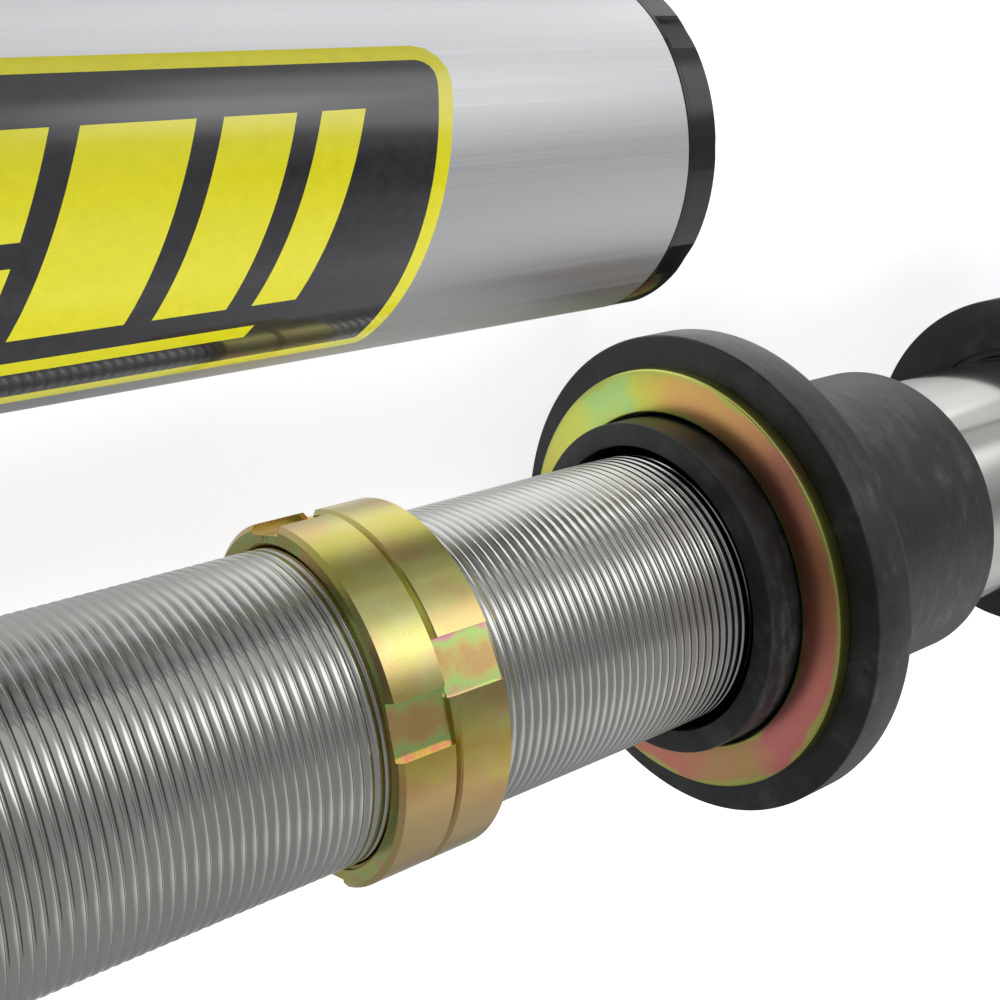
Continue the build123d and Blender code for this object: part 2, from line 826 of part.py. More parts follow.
# Seal head
write("seal_head", seal_head())
write(
    "seal_head_seal",
    seal_ring(seal_head_x + seal_head_length / 2, body_bore_radius, body_bore_radius - seal_depth),
)
write("seal_head_ring", seal_head_ring())
write(
    "shaft_bushing",
    sleeve(
        seal_head_x,
        seal_head_x + bushing_length,
        shaft_radius + running_gap + bushing_wall,
        shaft_radius + running_gap,
    ),
)
write(
    "shaft_seal",
    sleeve(
        shaft_seal_x() - shaft_seal_width / 2 + seat_gap,
        shaft_seal_x() + shaft_seal_width / 2 - seat_gap,
        shaft_radius + shaft_seal_depth - seat_gap,
        shaft_radius + running_gap,
        edge=piston_edge,
    ),
)
write(
    "shaft_wiper",
    sleeve(
        seal_head_end_x - wiper_width,
        seal_head_end_x,
        shaft_radius + wiper_depth - seat_gap,
        shaft_radius + running_gap,
        mouth=wiper_mouth,
    ),
)

# Pieces that slide on the body
write("preload_nut", preload_nut())
write("preload_pinch_screw", pinch_screw())
write("stop_ring_upper", stop_ring(tube_x + rings_place, upper_ring_angle))
write("stop_ring_lower", stop_ring(tube_x + rings_place + ring_width, lower_ring_angle))
write("slider", slider())
write("slider_washer", slider_washer())
write("lower_slider", lower_slider())

# Shaft assembly
write("shaft", shaft())
write("piston", piston())
write("piston_wear_band", wear_band((piston_x + piston_end_x) / 2, band_length, body_bore_radius))
write("compression_shims", shims(piston_end_x, 1))
write("rebound_shims", shims(piston_x, -1))
write(
    "shim_backing_washer",
    sleeve(
        shoulder_x - backing_thickness,
        shoulder_x,
        backing_radius,
        shaft_tip_radius + seat_gap,
        edge=rim_edge,
    ),
)
write("piston_nut", piston_nut())
write(
    "topout_spacer",
    sleeve(
        shoulder_x,
        shoulder_x + topout_length,
        topout_radius,
        shaft_radius + seat_gap,
        edge=seat_edge,
    ),
)
write("bump_stop", bump_stop())
write("lower_eye", lower_eye())
write("lower_perch", lower_perch())
write("perch_clip", perch_clip())

# Floating piston
write("floating_piston", floating_piston())
write(
    "floating_piston_seal",
    reservoir_axis
    * seal_ring(
        floating_seal_x(),
        reservoir_bore_radius - running_gap,
        reservoir_bore_radius - running_gap - seal_depth,
    ),
)
write(
    "floating_wear_band",
    reservoir_axis * wear_band(floating_band_x(), floating_band_length, reservoir_bore_radius),
)

# Spherical bearings
for end, eye_x in (("upper", 0.0), ("lower", lower_eye_x)):
    place = Pos(eye_x, 0, 0)
    write(f"{end}_bearing_race", place * bearing_race())
    write(f"{end}_bearing_ball", place * bearing_ball())
    write(f"{end}_eye_clips", Compound(children=[place * eye_clip(-1), place * eye_clip(1)]))
    write(f"{end}_spacer_left", place * bearing_spacer(-1))
    write(f"{end}_spacer_right", place * bearing_spacer(1))
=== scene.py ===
"""Looks of a coilover shock that lies on a pale floor: thread, plated rings, sliders, reservoir and label.

Lengths are in metres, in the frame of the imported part: X along the shock, Y along the bolts, Z up.
"""

import json
import math

import bmesh
import bpy
from mathutils import Matrix, Vector

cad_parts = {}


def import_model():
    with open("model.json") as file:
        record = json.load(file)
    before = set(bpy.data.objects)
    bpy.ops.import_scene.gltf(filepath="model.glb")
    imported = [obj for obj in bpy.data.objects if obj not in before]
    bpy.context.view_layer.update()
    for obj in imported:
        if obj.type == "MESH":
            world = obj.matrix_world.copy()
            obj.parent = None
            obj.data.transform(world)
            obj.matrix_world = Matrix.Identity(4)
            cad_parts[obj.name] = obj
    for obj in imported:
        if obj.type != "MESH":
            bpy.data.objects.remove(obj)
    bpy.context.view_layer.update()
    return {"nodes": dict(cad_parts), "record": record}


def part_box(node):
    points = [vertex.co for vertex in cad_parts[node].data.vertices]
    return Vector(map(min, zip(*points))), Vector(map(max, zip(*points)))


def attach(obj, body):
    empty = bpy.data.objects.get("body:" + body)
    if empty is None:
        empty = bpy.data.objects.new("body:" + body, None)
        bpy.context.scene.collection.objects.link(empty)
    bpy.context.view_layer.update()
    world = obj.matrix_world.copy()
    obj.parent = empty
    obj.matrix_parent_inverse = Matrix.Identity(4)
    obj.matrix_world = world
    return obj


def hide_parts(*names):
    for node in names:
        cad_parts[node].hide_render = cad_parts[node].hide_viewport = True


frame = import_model()

MM = 0.001

# Round pieces
SEGMENTS = 256
ARC_STEPS = 4
STRAIGHT = 0.05
CORNER_SHARE = 0.45
SHARP_ANGLE = 35
EDGE_WIDTH = 0.3 * MM
EDGE_ANGLE = 28
EDGE_STEPS = 2
WELD_DISTANCE = 0.002 * MM

# Thread on the body
PITCH = 2.54 * MM
THREAD_DEPTH = 0.5 * MM
THREAD_SEGMENTS = 160
# Half a pitch: the share of the pitch from a crest, and the share of the depth there
THREAD_PROFILE = (
    (0.0, 0.0),
    (0.09, 0.02),
    (0.18, 0.07),
    (0.27, 0.16),
    (0.325, 0.25),
    (0.36, 0.40),
    (0.43, 0.90),
    (0.46, 0.98),
    (0.5, 1.0),
)
THREAD_FADE = 3 * MM
THREAD_END = 364 * MM
BODY_BORE = 33.65 * MM
BODY_CHAMFER = 1.0 * MM
SLIDING_BORE = 38.4 * MM

# Stop rings; each is turned so that a first notch is at its angle, in degrees
RING_RADIUS = 43.65 * MM
RING_CHAMFER = (0.95 * MM, 1.3 * MM)
RING_MOUTH = 0.8 * MM
NOTCH_COUNT = 4
NOTCH_WIDTH = 13 * MM
NOTCH_FLOOR = 41 * MM
NOTCH_STEPS = 6
NOTCH_FILM = 0.6 * MM
NOTCH_CROWN = 0.62 * MM
# Painted shade on the rings' faces turned to minus X: the normal's X where it is full and where it ends,
# and its share
SHADED_SIDE_FACING = (-0.98, -0.86)
SIDE_SHADE_SHARE = 0.85
RING_ANGLES = {"stop_ring_upper": 59.5, "stop_ring_lower": 46.0}

# Sliders and washer
COLLAR_RADIUS = 47.05 * MM
COLLAR_LENGTH = 14.5 * MM
FRONT_EDGE = 0.6 * MM
BACK_EDGE = 2.2 * MM
HUB_EDGE = 1.8 * MM
INNER_CORNER = 0.5 * MM
MOUTH_RADIUS = 40.6 * MM
MOUTH_EDGE = 0.4 * MM
MOUTH_DEPTH = 22 * MM
LAND_LENGTH = 14 * MM
FLANGE_THICKNESS = 14.4 * MM
HUB_RADIUS = 45.4 * MM
WASHER_BORE = 48.05 * MM
WASHER_EDGE = 0.6 * MM
LOWER_FLANGE_THICKNESS = 12.6 * MM
LOWER_HUB_RADIUS = 47 * MM
LOWER_MOUTH_DEPTH = 1.5 * MM

# Reservoir
RESERVOIR_BORE = 34.9 * MM
TUBE_EDGE = 0.3 * MM

# Label on the reservoir
LABEL_LIFT = 0.12 * MM
LABEL_LENGTH = 188 * MM
LABEL_END_GAP = 57 * MM
LABEL_LOW_ANGLE = 34.5
LABEL_HIGH_ANGLE = 131.5
LABEL_SLANT = 17 * MM
LABEL_CORNER = 6.5 * MM
LABEL_BORDER = 3.1 * MM
LABEL_INSET = 0.0005
LABEL_ROWS = 72
LABEL_COLUMNS = 160
LABEL_UNIT = 100 * MM
# Bars run from and to a length from the label's end; stripes have a top, a bottom and a start
LABEL_BARS = ((17 * MM, 26 * MM), (31 * MM, 45 * MM), (50 * MM, 70 * MM))
LABEL_BAR_HEIGHT = (12 * MM, 46 * MM)
LABEL_LEAN = -0.45
LABEL_STRIPE_GAP = 10 * MM
LABEL_STRIPES = (
    (12 * MM, 29 * MM, 75 * MM),
    (33 * MM, 38 * MM, 75 * MM),
    (42 * MM, 46 * MM, 75 * MM),
    (51 * MM, 54 * MM, 22 * MM),
)

# The part of its range that noise mostly fills
NOISE_SPAN = (0.3, 0.7)

# What the room shows to metal, in degrees: azimuth, elevation, half sizes, blurs, and the level added
ROOM_LEVEL = 0.30
ROOM_PATCHES = (
    (48, 25, 17, 13, 4, 4, 0.90),
    (62, 27, 8, 5, 4, 3, 0.75),
    (24, 51, 17, 6, 4, 3, -0.14),
    (70, 14, 50, 24, 12, 14, 0.26),
    (-30, 25, 32, 32, 8, 8, 0.20),
    (-28, 28, 22, 18, 7, 7, 0.22),
    (190, 30, 60, 50, 15, 15, -0.12),
)

# Floor, in metres; the shares say how much of what the camera and metal see there is its own light
FLOOR_SIZE = 12
FLOOR_MIDDLE = 0.5
FLOOR_GREY = 0.88
FLOOR_SHOWN = 1.5
CAMERA_SHARE = 0.55
GLOSSY_SHARE = 0.95

# Painted pools of light and painted shade that metal sees on the floor, in metres: X, Y, half sizes, blurs,
# and the level added
FLOOR_LEVEL = 0.24
FLOOR_LIGHT_POOLS = (
    (0.38, 0.105, 0.13, 0.055, 0.07, 0.02, 0.80),
    (0.33, 0.03, 0.25, 0.045, 0.05, 0.02, 0.28),
    (0.31, 0.005, 0.05, 0.02, 0.03, 0.012, 0.35),
    (0.58, 0.17, 0.15, 0.11, 0.05, 0.05, 0.80),
    (0.36, 0.27, 0.12, 0.07, 0.05, 0.04, 0.25),
    (0.40, 0.62, 2.0, 0.44, 0.1, 0.04, 0.54),
    (0.17, -0.065, 0.10, 0.07, 0.04, 0.03, -0.14),
    (0.20, -0.21, 0.27, 0.08, 0.08, 0.03, 0.20),
)

# Lamp and camera, in metres and watts
LAMP_PLACE = (0.65, -0.6, 2.2)
LAMP_TARGET = (0.35, 0, 0)
LAMP_SIZE = 2.0
LAMP_POWER = 66
CAMERA_PLACE = (0.1141, 0.2172, 0.2052)
CAMERA_RIGHT = (0.79205, 0.1572, 0.5899)
CAMERA_UP = (0.2124, 0.8350, -0.5077)
LENS_MM = 49.8168
SENSOR_MM = 36.0
NEAREST = 0.01


class Nodes:
    """Short calls for the shader nodes used here."""

    def __init__(self, tree):
        self.tree = tree

    def node(self, kind, **settings):
        """A new node with its settings."""
        made = self.tree.nodes.new(kind)
        for key, value in settings.items():
            setattr(made, key, value)
        return made

    def link(self, value, target):
        """Joins a socket to an input, or puts a plain value there."""
        if isinstance(value, bpy.types.NodeSocket):
            self.tree.links.new(value, target)
        else:
            target.default_value = value

    def math(self, operation, a, b=0.0):
        """One operation on two values."""
        made = self.node("ShaderNodeMath", operation=operation)
        self.link(a, made.inputs[0])
        self.link(b, made.inputs[1])
        return made.outputs[0]

    def spread(self, value, source, target=(0.0, 1.0), smooth=False):
        """A value moved from one range to another, and held at the ends."""
        made = self.node("ShaderNodeMapRange")
        made.interpolation_type = "SMOOTHSTEP" if smooth else "LINEAR"
        self.link(value, made.inputs["Value"])
        names = ("From Min", "From Max", "To Min", "To Max")
        for name, number in zip(names, (*source, *target)):
            made.inputs[name].default_value = number
        return made.outputs["Result"]

    def patch(self, value, centre, inner, outer):
        """One near a value's centre, and zero beyond outer."""
        away = self.math("ABSOLUTE", self.math("SUBTRACT", value, centre))
        return self.spread(away, (inner, outer), (1.0, 0.0), smooth=True)

    def patches(self, across, upward, level, rows):
        """A level with soft rectangles added to it."""
        total = level
        for middle, height, half_width, half_height, side_blur, rise_blur, added in rows:
            sides = self.patch(across, middle, half_width - side_blur, half_width + side_blur)
            rises = self.patch(upward, height, half_height - rise_blur, half_height + rise_blur)
            inside = self.math("MULTIPLY", sides, rises)
            total = self.math("ADD", self.math("MULTIPLY", inside, added), total)
        return total

    def axes(self, place):
        """X, Y and Z of a place."""
        made = self.node("ShaderNodeSeparateXYZ")
        self.link(place, made.inputs["Vector"])
        return made.outputs


class Shader(Nodes):
    """A material on one principled shader."""

    def __init__(self, name, color, metallic=0.0, roughness=0.5):
        self.material = bpy.data.materials.new(name)
        self.material.use_nodes = True
        super().__init__(self.material.node_tree)
        self.surface = self.tree.nodes["Principled BSDF"]
        self.set("Base Color", (*color, 1.0))
        self.set("Metallic", metallic)
        self.set("Roughness", roughness)
        self.place = self.node("ShaderNodeTexCoord").outputs["Object"]

    def set(self, name, value):
        """Gives an input of the shader its value or socket."""
        self.link(value, self.surface.inputs[name])

    def noise(self, scale, detail=3.0, roughness=0.5, place=None):
        """Cloudy noise; scale counts its spots in a metre."""
        made = self.node("ShaderNodeTexNoise")
        self.link(place or self.place, made.inputs["Vector"])
        made.inputs["Scale"].default_value = scale
        made.inputs["Detail"].default_value = detail
        made.inputs["Roughness"].default_value = roughness
        return made.outputs["Fac"]

    def streaks(self, scales, detail, roughness=0.5):
        """Noise with a scale of its own along each axis."""
        mapping = self.node("ShaderNodeMapping")
        self.link(self.place, mapping.inputs["Vector"])
        mapping.inputs["Scale"].default_value = scales
        return self.noise(1.0, detail, roughness, mapping.outputs["Vector"])

    def ramp(self, value, stops):
        """Colours along a value, from (position, colour) stops."""
        made = self.node("ShaderNodeValToRGB")
        self.link(value, made.inputs["Fac"])
        points = made.color_ramp.elements
        while len(points) < len(stops):
            points.new(0.5)
        for point, (position, color) in zip(points, stops):
            point.position = position
            point.color = (*color, 1.0)
        return made.outputs["Color"]

    def mix(self, factor, a, b):
        """Colour a where the factor is 0 and colour b where it is 1."""
        made = self.node("ShaderNodeMix", data_type="RGBA")
        colors = [s for s in made.inputs if s.type == "RGBA"]
        self.link(factor, made.inputs["Factor"])
        self.link(a if isinstance(a, bpy.types.NodeSocket) else (*a, 1.0), colors[0])
        self.link(b if isinstance(b, bpy.types.NodeSocket) else (*b, 1.0), colors[1])
        return [s for s in made.outputs if s.type == "RGBA"][0]

    def bump(self, height, strength, distance):
        """Raises the surface by a height, in shading only."""
        made = self.node("ShaderNodeBump")
        self.link(height, made.inputs["Height"])
        made.inputs["Strength"].default_value = strength
        made.inputs["Distance"].default_value = distance
        self.link(made.outputs["Normal"], self.surface.inputs["Normal"])

    def radius(self):
        """The distance from the body's axis."""
        axes = self.axes(self.place)
        squares = [self.math("POWER", axes[name], 2.0) for name in "YZ"]
        return self.math("SQRT", self.math("ADD", *squares))

    def turn(self):
        """The angle round the body's axis, as a share of a full turn from minus to plus a half."""
        axes = self.axes(self.place)
        return self.math("MULTIPLY", self.math("ARCTAN2", axes["Z"], axes["Y"]), 0.5 / math.pi)


def plated_body():
    """Bright plated steel, turned, with faint cloudiness."""
    s = Shader("body_steel", (0.60, 0.60, 0.575), metallic=1.0, roughness=0.16)
    turned = s.streaks((5200, 40, 40), detail=2.0)
    clouds = s.noise(26.0, detail=4.0)
    s.set("Roughness", s.spread(s.math("ADD", turned, clouds), (0.6, 1.4), (0.10, 0.17)))
    s.set("Base Color", s.ramp(clouds, [(0.3, (0.57, 0.575, 0.545)), (0.7, (0.64, 0.645, 0.615))]))
    s.bump(turned, strength=0.05, distance=0.02 * MM)
    return s.material


def yellow_zinc():
    """Yellow chromate over zinc: olive, gold and tan set by the angle round the axis, with a painted
    highlight in a paler stop, painted light that makes the notch floors brighter, and painted shade that
    makes the side faces darker.
    """
    s = Shader("yellow_zinc", (0.66, 0.56, 0.18), metallic=1.0, roughness=0.28)
    angle = s.turn()
    drift = s.spread(s.noise(34.0, detail=3.0), NOISE_SPAN, (0.44, 0.56))
    # Chromate hues by the angle round the axis; the palest, brightest stop, near 40 degrees, is a painted
    # highlight where the highlight falls
    film_and_highlight = s.ramp(
        s.math("ADD", angle, drift),
        [
            (0.10, (0.60, 0.56, 0.14)),
            (0.25, (0.68, 0.48, 0.22)),
            (0.38, (0.70, 0.54, 0.18)),
            (0.46, (0.70, 0.63, 0.28)),
            (0.54, (0.66, 0.60, 0.14)),
            (0.61, (0.72, 0.71, 0.30)),
            (0.65, (0.68, 0.61, 0.18)),
            (0.685, (0.70, 0.50, 0.12)),
            (0.71, (0.70, 0.58, 0.15)),
            (0.74, (0.70, 0.44, 0.19)),
            (0.79, (0.66, 0.50, 0.24)),
            (0.90, (0.68, 0.60, 0.16)),
        ],
    )
    radius = s.radius()
    wobble = s.spread(s.noise(180.0, detail=2.0), NOISE_SPAN, (-0.16 * MM, 0.16 * MM))
    depth = s.spread(s.math("ADD", radius, wobble), (NOTCH_FLOOR, NOTCH_FLOOR + NOTCH_FILM))
    # Notch floors: the chromate's hues across their depth, made lighter than the rest of the ring as
    # painted light for the light the flat floors catch
    notch = s.ramp(
        depth,
        [
            (0.05, (0.86, 0.56, 0.24)),
            (0.25, (0.82, 0.74, 0.26)),
            (0.50, (0.60, 0.92, 0.30)),
            (0.70, (0.80, 0.72, 0.32)),
            (0.92, (0.96, 0.44, 0.52)),
        ],
    )
    facing = s.axes(s.node("ShaderNodeNewGeometry").outputs["Normal"])["X"]
    outward = s.math("LESS_THAN", s.math("ABSOLUTE", facing), 0.5)
    sunk = s.math("LESS_THAN", radius, NOTCH_FLOOR + NOTCH_CROWN)
    floor = s.math("MULTIPLY", outward, sunk)
    tan = s.spread(s.noise(48.0, detail=3.0, roughness=0.6), (0.46, 0.62), (0.0, 0.75), smooth=True)
    # Darker olive, green and brown for the faces turned to minus X: painted shade over the film's patches
    shaded_side_face = s.ramp(
        s.noise(70.0, detail=3.0),
        [
            (0.38, (0.46, 0.38, 0.10)),
            (0.48, (0.42, 0.46, 0.12)),
            (0.56, (0.34, 0.48, 0.15)),
            (0.64, (0.52, 0.32, 0.13)),
        ],
    )
    # The painted shade comes in as the normal turns to minus X
    side_shade = s.spread(facing, SHADED_SIDE_FACING, (SIDE_SHADE_SHARE, 0.0))
    outside = s.mix(side_shade, s.mix(tan, film_and_highlight, (0.72, 0.51, 0.23)), shaded_side_face)
    s.set("Base Color", s.mix(floor, outside, notch))
    grain = s.noise(3200.0, detail=2.0)
    s.set("Roughness", s.spread(grain, NOISE_SPAN, (0.20, 0.28)))
    s.bump(grain, strength=0.05, distance=0.01 * MM)
    return s.material


def washer_zinc(middle_radius, half_width):
    """The same chromate on the washer in stronger colours, set by the angle round the axis: yellow-green
    over about -80 to -35 degrees, red-brown and darker over most of the rest, green at both edges.
    """
    s = Shader("washer_zinc", (0.80, 0.50, 0.25), metallic=1.0, roughness=0.34)
    angle = s.turn()
    drift = s.spread(s.noise(38.0, detail=2.0), NOISE_SPAN, (0.46, 0.54))
    middle = s.ramp(
        s.math("ADD", angle, drift),
        [
            (0.05, (0.80, 0.40, 0.22)),
            (0.28, (0.80, 0.80, 0.16)),
            (0.34, (0.74, 0.82, 0.16)),
            (0.37, (0.52, 0.82, 0.28)),
            (0.40, (0.74, 0.80, 0.14)),
            (0.46, (0.88, 0.62, 0.15)),
            (0.52, (0.88, 0.44, 0.20)),
            (0.56, (0.84, 0.34, 0.26)),
            (0.68, (0.84, 0.36, 0.20)),
            (0.74, (0.86, 0.30, 0.25)),
            (0.82, (0.86, 0.28, 0.27)),
            (0.86, (0.72, 0.46, 0.20)),
            (0.93, (0.84, 0.32, 0.24)),
        ],
    )
    across = s.spread(s.radius(), (middle_radius - half_width, middle_radius + half_width))
    wobble = s.spread(s.noise(60.0, detail=3.0), NOISE_SPAN, (-0.09, 0.09))
    edges = s.ramp(
        s.math("ADD", across, wobble),
        [
            (0.02, (0.9, 0.9, 0.9)),
            (0.15, (0.0, 0.0, 0.0)),
            (0.86, (0.0, 0.0, 0.0)),
            (0.96, (0.9, 0.9, 0.9)),
        ],
    )
    s.set("Base Color", s.mix(edges, middle, (0.60, 0.66, 0.16)))
    grain = s.noise(2600.0, detail=2.0)
    s.set("Roughness", s.spread(grain, NOISE_SPAN, (0.30, 0.38)))
    s.bump(grain, strength=0.05, distance=0.01 * MM)
    return s.material


def black_slider():
    """Machined black plastic, a little dusty and scuffed, with faint turning marks."""
    s = Shader("slider_plastic", (0.016, 0.0165, 0.017), roughness=0.42)
    turned = s.streaks((2600, 60, 60), detail=2.0)
    clouds = s.noise(30.0, detail=6.0, roughness=0.68)
    scuffs = s.streaks((260, 90, 90), detail=5.0, roughness=0.7)
    dust = s.math("MULTIPLY", clouds, scuffs)
    tones = [
        (0.14, (0.005, 0.0055, 0.006)),
        (0.27, (0.014, 0.016, 0.0175)),
        (0.38, (0.045, 0.049, 0.052)),
    ]
    s.set("Base Color", s.ramp(dust, tones))
    s.set("Roughness", s.spread(s.math("ADD", turned, clouds), (0.7, 1.4), (0.36, 0.52)))
    s.bump(s.math("ADD", turned, scuffs), strength=0.10, distance=0.04 * MM)
    return s.material


def brushed_reservoir():
    """Clear anodised aluminium, brushed along its length."""
    s = Shader("clear_anodised", (0.78, 0.79, 0.81), metallic=1.0, roughness=0.4)
    lines = s.streaks((5, 1500, 1500), detail=3.0)
    broad = s.streaks((4, 330, 330), detail=3.0)
    both = s.math("MULTIPLY", s.math("ADD", lines, broad), 0.5)
    s.set("Base Color", s.ramp(both, [(0.39, (0.795, 0.805, 0.82)), (0.61, (0.87, 0.88, 0.90))]))
    s.set("Roughness", s.spread(both, (0.35, 0.65), (0.44, 0.56)))
    s.bump(lines, strength=0.14, distance=0.04 * MM)
    return s.material


def machined_alloy():
    """Clear anodised aluminium with turning marks."""
    s = Shader("machined_alloy", (0.66, 0.67, 0.69), metallic=1.0, roughness=0.32)
    marks = s.streaks((2400, 120, 120), detail=2.0)
    s.set("Base Color", s.ramp(marks, [(0.3, (0.60, 0.61, 0.63)), (0.7, (0.70, 0.71, 0.73))]))
    s.set("Roughness", s.spread(marks, NOISE_SPAN, (0.26, 0.40)))
    s.bump(marks, strength=0.12, distance=0.04 * MM)
    return s.material


def black_anodised():
    """Gloss black anodising over machined aluminium, with small scuffs."""
    s = Shader("black_anodised", (0.012, 0.012, 0.013), roughness=0.12)
    s.set("Specular IOR Level", 0.6)
    scuffs = s.noise(260.0, detail=5.0, roughness=0.7)
    clouds = s.noise(45.0, detail=3.0)
    s.set("Base Color", s.ramp(clouds, [(0.3, (0.003, 0.003, 0.0035)), (0.7, (0.009, 0.009, 0.010))]))
    s.set("Roughness", s.spread(scuffs, (0.45, 0.75), (0.06, 0.20)))
    s.bump(scuffs, strength=0.05, distance=0.03 * MM)
    return s.material


def hard_chrome():
    """Polished hard chrome with the finest of grinding lines."""
    s = Shader("hard_chrome", (0.75, 0.76, 0.78), metallic=1.0, roughness=0.06)
    lines = s.streaks((5000, 60, 60), detail=2.0)
    s.set("Base Color", s.ramp(lines, [(0.3, (0.72, 0.73, 0.75)), (0.7, (0.78, 0.79, 0.81))]))
    s.set("Roughness", s.spread(lines, NOISE_SPAN, (0.04, 0.10)))
    return s.material


def plain_steel(name, dark, light, low, high):
    """Zinc plated, ground or spring steel: a tone that drifts between dark and light."""
    s = Shader(name, light, metallic=1.0, roughness=high)
    clouds = s.noise(90.0, detail=4.0, roughness=0.6)
    s.set("Base Color", s.ramp(clouds, [(0.3, dark), (0.7, light)]))
    s.set("Roughness", s.spread(clouds, NOISE_SPAN, (low, high)))
    s.bump(s.noise(1400.0, detail=2.0), strength=0.06, distance=0.03 * MM)
    return s.material


def black_rubber():
    """Matte black rubber with a fine grain."""
    s = Shader("black_rubber", (0.03, 0.03, 0.03), roughness=0.7)
    grain = s.noise(1200.0, detail=3.0)
    clouds = s.noise(50.0)
    s.set("Base Color", s.ramp(clouds, [(0.3, (0.02, 0.02, 0.02)), (0.7, (0.042, 0.041, 0.040))]))
    s.set("Roughness", s.spread(grain, NOISE_SPAN, (0.6, 0.8)))
    s.bump(grain, strength=0.25, distance=0.08 * MM)
    return s.material


def band_plastic():
    """Brown filled bearing plastic."""
    s = Shader("band_plastic", (0.25, 0.16, 0.10), roughness=0.5)
    fleck = s.noise(700.0, detail=4.0)
    s.set("Base Color", s.ramp(fleck, [(0.35, (0.20, 0.125, 0.08)), (0.65, (0.30, 0.20, 0.125))]))
    s.bump(fleck, strength=0.1, distance=0.04 * MM)
    return s.material


def label_vinyl():
    """Printed vinyl: a black field in a yellow border, with plain yellow stripes and slanted bars."""
    s = Shader("label_vinyl", (0.02, 0.02, 0.025), roughness=0.2)
    s.set("Coat Weight", 1.0)
    s.set("Coat IOR", 1.6)
    s.set("Coat Roughness", 0.05)
    place = s.axes(s.node("ShaderNodeUVMap", uv_map="place").outputs["UV"])
    depth = s.axes(s.node("ShaderNodeUVMap", uv_map="depth").outputs["UV"])["X"]
    along, down = place["X"], place["Y"]

    def below(value, limit):
        """One where a value in label units is under a limit in metres."""
        return s.math("LESS_THAN", value, limit / LABEL_UNIT)

    def between(value, low, high):
        """One where a value in label units lies between two limits in metres."""
        return s.math("MULTIPLY", s.math("GREATER_THAN", value, low / LABEL_UNIT), below(value, high))

    border = below(depth, LABEL_BORDER)
    leaning = s.math("ADD", along, s.math("MULTIPLY", down, LABEL_LEAN))
    shapes = border
    for first, last in LABEL_BARS:
        bar = s.math("MULTIPLY", between(leaning, first, last), between(down, *LABEL_BAR_HEIGHT))
        shapes = s.math("MAXIMUM", shapes, bar)
    for top, bottom, first in LABEL_STRIPES:
        stripe = s.math("MULTIPLY", between(leaning, first, LABEL_LENGTH), between(down, top, bottom))
        inside = s.math("GREATER_THAN", depth, LABEL_STRIPE_GAP / LABEL_UNIT)
        shapes = s.math("MAXIMUM", shapes, s.math("MULTIPLY", stripe, inside))
    wear = s.noise(420.0, detail=4.0, roughness=0.6)
    black = s.ramp(wear, [(0.3, (0.009, 0.009, 0.012)), (0.7, (0.017, 0.017, 0.021))])
    yellow = s.ramp(wear, [(0.3, (0.59, 0.55, 0.003)), (0.7, (0.64, 0.60, 0.005))])
    s.set("Base Color", s.mix(shapes, black, yellow))
    s.set("Roughness", s.spread(wear, NOISE_SPAN, (0.16, 0.26)))
    s.bump(s.noise(120.0, detail=2.0), strength=0.04, distance=0.10 * MM)
    return s.material


def make_materials():
    """One material for each slot of the record, and the washer's own."""
    low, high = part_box("slider_washer")
    outer = (high.z - low.z) / 2
    inner = WASHER_BORE
    return {
        "body_steel": plated_body(),
        "yellow_zinc": yellow_zinc(),
        "washer_zinc": washer_zinc((outer + inner) / 2, (outer - inner) / 2),
        "slider_plastic": black_slider(),
        "label_vinyl": label_vinyl(),
        "clear_anodised": brushed_reservoir(),
        "machined_alloy": machined_alloy(),
        "black_anodised": black_anodised(),
        "hard_chrome": hard_chrome(),
        "bearing_steel": plain_steel("bearing_steel", (0.55, 0.55, 0.57), (0.68, 0.68, 0.70), 0.10, 0.20),
        "plain_steel": plain_steel("plain_steel", (0.42, 0.42, 0.43), (0.58, 0.58, 0.60), 0.26, 0.42),
        "spring_steel": plain_steel("spring_steel", (0.10, 0.10, 0.11), (0.20, 0.20, 0.22), 0.30, 0.45),
        "black_rubber": black_rubber(),
        "band_plastic": band_plastic(),
        "bronze": plain_steel("bronze", (0.50, 0.36, 0.14), (0.66, 0.50, 0.24), 0.26, 0.40),
    }


def dress_nodes(materials):
    """Gives every CAD node the material of its slot, but machined alloy to the five named here."""
    slots = {part["node"]: part["material_slot"] for part in frame["record"]["subparts"]}
    machined = ("seal_head", "piston", "floating_piston", "lower_eye", "piston_nut")
    for name, node in frame["nodes"].items():
        slot = "machined_alloy" if name in machined else slots[name]
        node.data.materials.clear()
        node.data.materials.append(materials[slot])


def new_piece(name, vertices, faces, material, body, replaced=()):
    """A mesh object that rides on a body, with smooth shading between its sharp edges."""
    mesh = bpy.data.meshes.new(name)
    mesh.from_pydata(vertices, [], faces)
    mesh.validate()
    mesh.materials.append(material)
    mesh.shade_smooth()
    mesh.set_sharp_from_angle(angle=math.radians(SHARP_ANGLE))
    piece = bpy.data.objects.new(name, mesh)
    bpy.context.scene.collection.objects.link(piece)
    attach(piece, body)
    if replaced:
        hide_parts(*replaced)
    return piece


